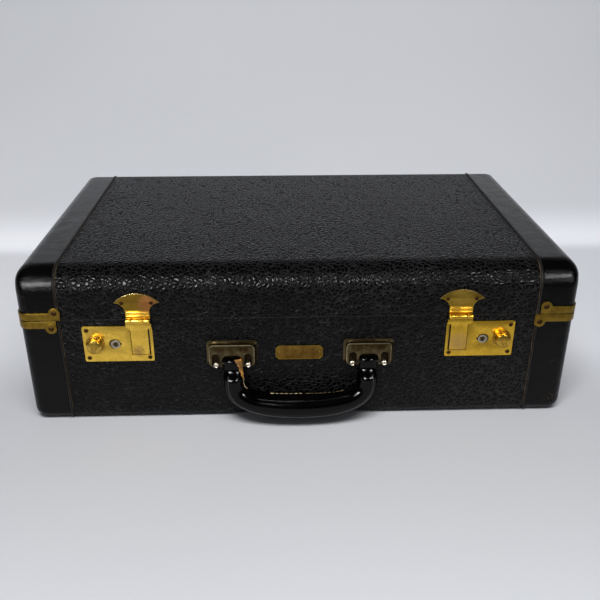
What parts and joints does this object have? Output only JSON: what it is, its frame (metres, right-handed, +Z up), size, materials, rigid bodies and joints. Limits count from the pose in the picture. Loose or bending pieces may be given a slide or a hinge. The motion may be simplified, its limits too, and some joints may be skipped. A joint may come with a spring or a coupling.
{
  "type": "suitcase",
  "caption": "Rectangular travel case with a hinged lid, hasp locks with push buttons, a swinging carrying handle and brass-edged leather end caps.",
  "frame": {"origin": "middle of the flat bottom face that the case rests on", "axes": "+X along the width to the right as seen from the front, +Y from the front to the hinged back, +Z up"},
  "size_m": [0.5356, 0.3619, 0.1632],
  "materials": {
    "grained_covering": "black coated leather with a raised pebble grain",
    "smooth_leather": "smooth black glazed leather",
    "welt_leather": "worn dark grey cord welt",
    "plywood": "plain plywood",
    "lining_cloth": "tan cotton lining",
    "bright_brass": "yellow brass with patina",
    "dull_brass": "dull olive brass",
    "antique_brass": "dark olive antiqued brass",
    "nickelled_steel": "worn nickelled steel"
  },
  "bodies": {
    "base": {"base_shell": "plywood", "base_cover": "grained_covering", "base_lining": "lining_cloth", "inner_lip": "plywood", "name_plate": "dull_brass", "base_end_cap_left": "smooth_leather", "base_welt_left": "welt_leather", "base_edge_left": "dull_brass", "hinge_base_left": "dull_brass", "hinge_pin_left": "nickelled_steel", "lock_plate_left": "bright_brass", "lock_case_left": "nickelled_steel", "bolt_spring_left": "nickelled_steel", "handle_bracket_left": "antique_brass", "name_plate_pin_left": "dull_brass", "bracket_stud_left_outer": "nickelled_steel", "bracket_stud_left_inner": "nickelled_steel", "base_end_cap_right": "smooth_leather", "base_welt_right": "welt_leather", "base_edge_right": "dull_brass", "hinge_base_right": "dull_brass", "hinge_pin_right": "nickelled_steel", "lock_plate_right": "bright_brass", "lock_case_right": "nickelled_steel", "bolt_spring_right": "nickelled_steel", "handle_bracket_right": "antique_brass", "name_plate_pin_right": "dull_brass", "bracket_stud_right_outer": "nickelled_steel", "bracket_stud_right_inner": "nickelled_steel"},
    "lid": {"lid_shell": "plywood", "lid_cover": "grained_covering", "lid_lining": "lining_cloth", "lid_end_cap_left": "smooth_leather", "lid_welt_left": "welt_leather", "lid_edge_left": "dull_brass", "hinge_lid_left": "dull_brass", "hasp_plate_left": "bright_brass", "hasp_pin_left": "nickelled_steel", "hasp_nail_left_outer": "dull_brass", "hasp_nail_left_inner": "dull_brass", "lid_end_cap_right": "smooth_leather", "lid_welt_right": "welt_leather", "lid_edge_right": "dull_brass", "hinge_lid_right": "dull_brass", "hasp_plate_right": "bright_brass", "hasp_pin_right": "nickelled_steel", "hasp_nail_right_outer": "dull_brass", "hasp_nail_right_inner": "dull_brass"},
    "handle": {"handle_grip": "smooth_leather", "handle_pin_left": "nickelled_steel", "handle_pin_right": "nickelled_steel"},
    "hasp_left": {"hasp_left": "bright_brass"},
    "button_left": {"button_left": "bright_brass", "bolt_left": "nickelled_steel"},
    "lock_core_left": {"lock_core_left": "nickelled_steel"},
    "hasp_right": {"hasp_right": "bright_brass"},
    "button_right": {"button_right": "bright_brass", "bolt_right": "nickelled_steel"},
    "lock_core_right": {"lock_core_right": "nickelled_steel"}
  },
  "joints": [
    {"name": "lid_hinge", "type": "hinge", "parent": "base", "child": "lid", "pos_m": [0, 0.1684, 0.1115], "axis": [-1, 0, 0], "range_deg": [0, 100]},
    {"name": "handle_swing", "type": "hinge", "parent": "base", "child": "handle", "pos_m": [0, -0.1725, 0.0665], "axis": [-1, 0, 0], "range_deg": [0, 120]},
    {"name": "hasp_left_swing", "type": "hinge", "parent": "lid", "child": "hasp_left", "pos_m": [-0.1537, -0.1683, 0.1115], "axis": [-1, 0, 0], "range_deg": [0, 150]},
    {"name": "button_left_slide", "type": "slide", "parent": "base", "child": "button_left", "axis": [-1, 0, 0], "range_m": [0, 0.004], "stiffness_N_per_m": 400, "springref_m": -0.004},
    {"name": "lock_core_left_turn", "type": "hinge", "parent": "base", "child": "lock_core_left", "pos_m": [-0.1785, -0.167, 0.0862], "axis": [0, -1, 0], "range_deg": [0, 90]},
    {"name": "hasp_right_swing", "type": "hinge", "parent": "lid", "child": "hasp_right", "pos_m": [0.1537, -0.1683, 0.1115], "axis": [-1, 0, 0], "range_deg": [0, 150]},
    {"name": "button_right_slide", "type": "slide", "parent": "base", "child": "button_right", "axis": [1, 0, 0], "range_m": [0, 0.004], "stiffness_N_per_m": 400, "springref_m": -0.004},
    {"name": "lock_core_right_turn", "type": "hinge", "parent": "base", "child": "lock_core_right", "pos_m": [0.1785, -0.167, 0.0862], "axis": [0, 1, 0], "range_deg": [0, 90]}
  ]
}
